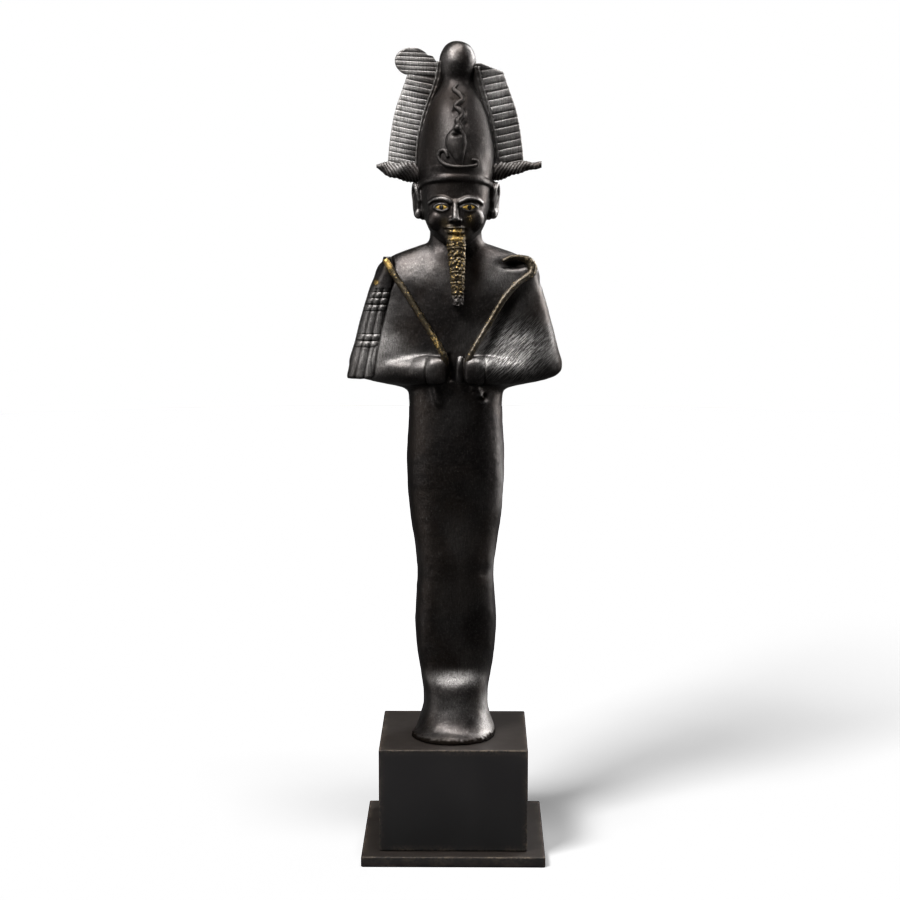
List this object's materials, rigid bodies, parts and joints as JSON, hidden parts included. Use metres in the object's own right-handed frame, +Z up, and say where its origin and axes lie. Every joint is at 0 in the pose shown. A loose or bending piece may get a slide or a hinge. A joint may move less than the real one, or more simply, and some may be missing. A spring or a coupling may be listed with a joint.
{
  "type": "bronze osiris statuette",
  "caption": "Dark bronze figure of a wrapped, standing god with a feathered crown, crook and flail, on a stepped black base.",
  "frame": {"origin": "centre of the base plate's underside", "axes": "+Z up along the figure, the figure faces -Y, +X is its left-hand side"},
  "size_m": [0.0874, 0.074, 0.3289],
  "materials": {
    "bronze": "dark brown-black patina, satin, with fine brushed scratches and traces of gilding",
    "eye_gold": "worn gold inlay",
    "eye_black": "polished black inlay",
    "base_black": "matte black lacquer, edges slightly worn"
  },
  "bodies": {
    "root": {"osiris_figure": "bronze", "right_eye_inlay": "eye_gold", "left_eye_inlay": "eye_gold", "right_pupil": "eye_black", "left_pupil": "eye_black", "base_block": "base_black", "base_plate": "base_black"}
  },
  "joints": []
}
